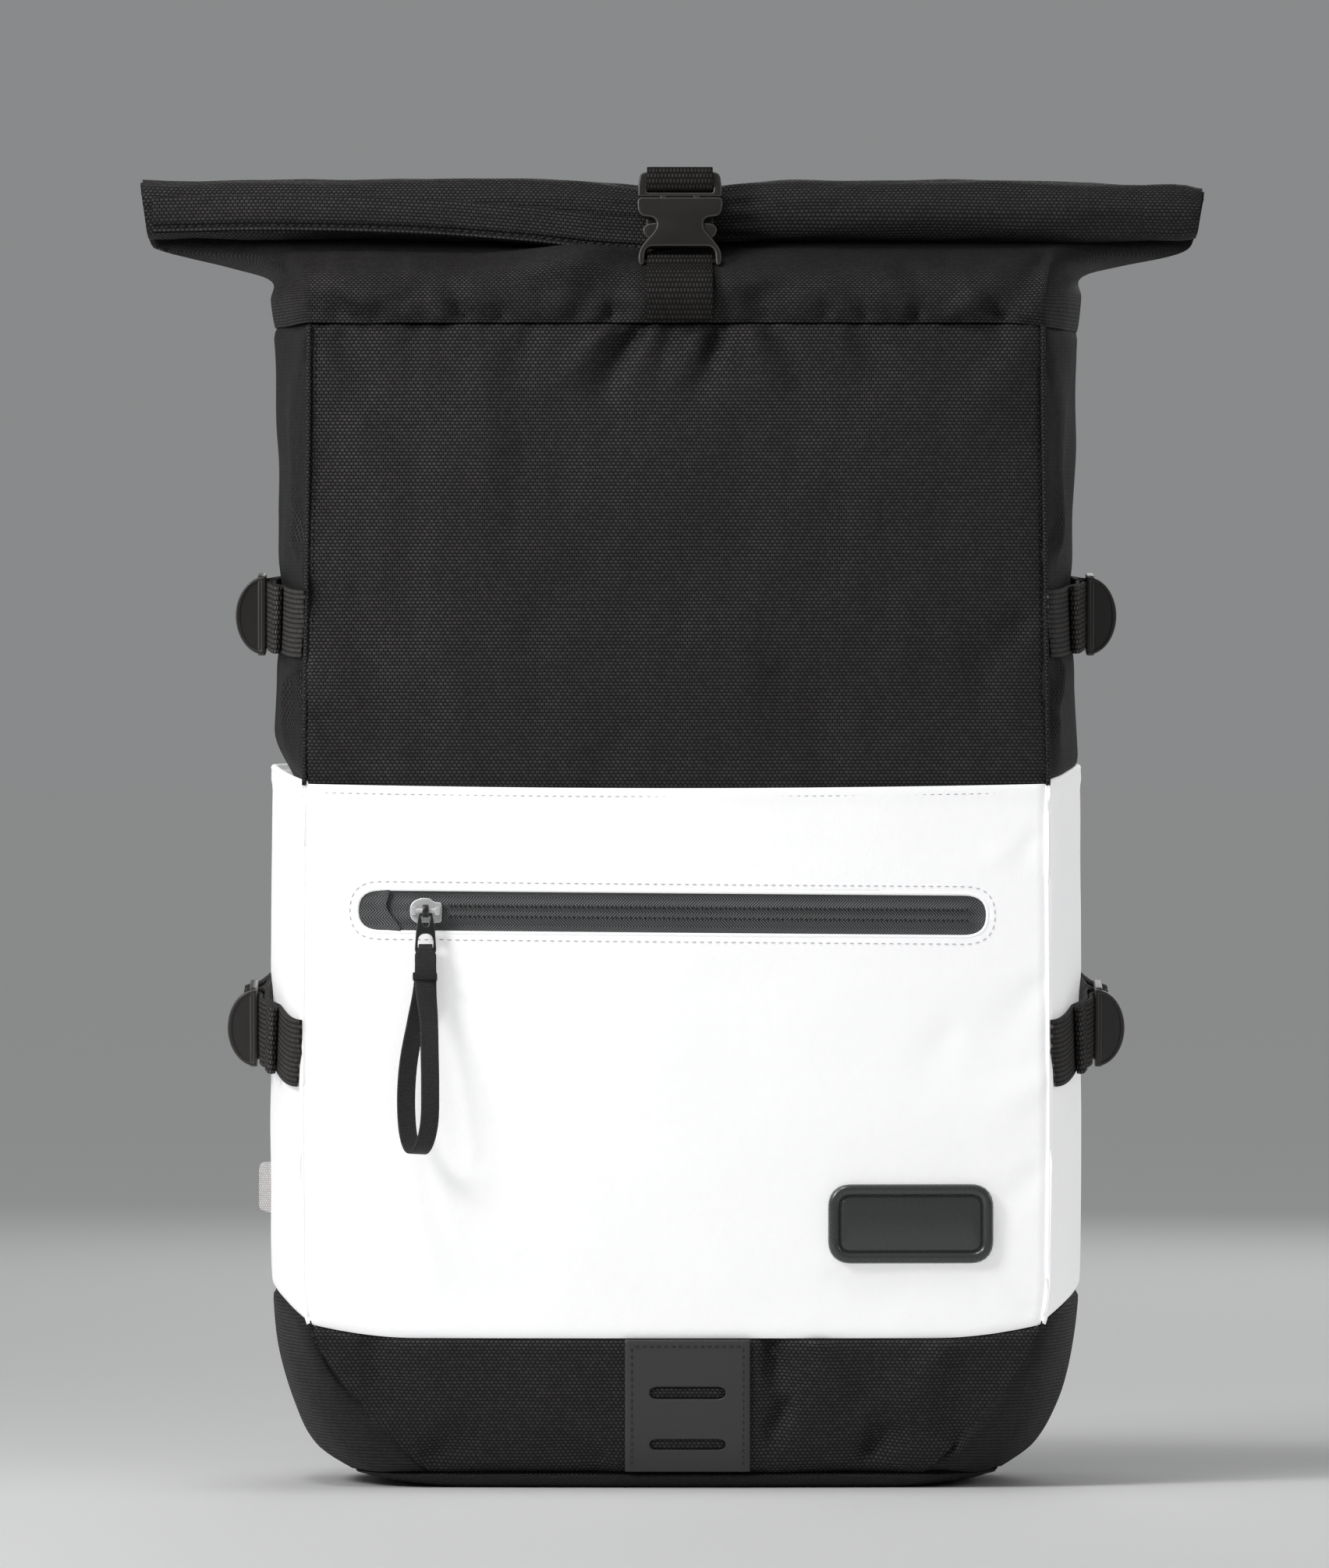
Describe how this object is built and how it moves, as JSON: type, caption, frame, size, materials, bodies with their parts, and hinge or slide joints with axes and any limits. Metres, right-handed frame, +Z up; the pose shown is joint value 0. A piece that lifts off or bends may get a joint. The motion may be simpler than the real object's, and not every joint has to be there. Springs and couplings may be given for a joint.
{
  "type": "backpack",
  "caption": "Tall roll-top laptop backpack of dark woven nylon with white lower panels, a zipped front pocket, side straps and a front buckle.",
  "frame": {"origin": "on the flat underside of the base, below the middle of the bag", "axes": "+Z up along the bag's height, +Y towards the wearer's back, so the front faces -Y; +X is to the right seen from the front"},
  "size_m": [0.392, 0.1889, 0.4906],
  "materials": {
    "weave": "coarse woven nylon, near black",
    "pale_cloth": "smooth coated cloth, white",
    "webbing": "ribbed webbing, black",
    "plastic": "satin moulded, black",
    "coated_patch": "smooth coated patch, near black",
    "badge_rubber": "fine grained, charcoal",
    "tag_cloth": "woven tape, dark grey",
    "zip_cloth": "herringbone tape, dark grey",
    "nickel": "polished nickel plate",
    "dark_metal": "dark plated metal"
  },
  "bodies": {
    "bag": {"base_panel": "weave", "boot": "weave", "front_panel": "weave", "back_panel": "weave", "roll_top": "weave", "gusset_left": "weave", "gusset_right": "weave", "shoulder_strap_left": "weave", "shoulder_strap_right": "weave", "pocket_front": "pale_cloth", "pocket_side_left": "pale_cloth", "pocket_side_right": "pale_cloth", "closure_strap_lower": "webbing", "closure_strap_upper": "webbing", "haul_loop": "webbing", "shoulder_webbing_left": "webbing", "shoulder_webbing_right": "webbing", "side_strap_upper_left": "webbing", "side_anchor_upper_left": "webbing", "side_strap_upper_right": "webbing", "side_anchor_upper_right": "webbing", "side_strap_lower_left": "webbing", "side_anchor_lower_left": "webbing", "side_strap_lower_right": "webbing", "side_anchor_lower_right": "webbing", "buckle_socket": "plastic", "buckle_plug": "plastic", "shoulder_adjuster_left": "plastic", "shoulder_adjuster_right": "plastic", "side_adjuster_upper_left": "plastic", "side_adjuster_upper_right": "plastic", "side_adjuster_lower_left": "plastic", "side_adjuster_lower_right": "plastic", "light_patch": "coated_patch", "badge": "badge_rubber", "side_tag": "tag_cloth", "zip_tape": "zip_cloth", "zip_flap": "zip_cloth", "zip_slider": "nickel"},
    "zip_pull_body": {"zip_pull": "dark_metal", "pull_loop": "webbing"}
  },
  "joints": [
    {"name": "zip_pull_swing", "type": "hinge", "parent": "bag", "child": "zip_pull_body", "pos_m": [-0.0923, -0.07629, 0.21327], "axis": [-1, 0, 0], "range_deg": [0, 145]}
  ]
}
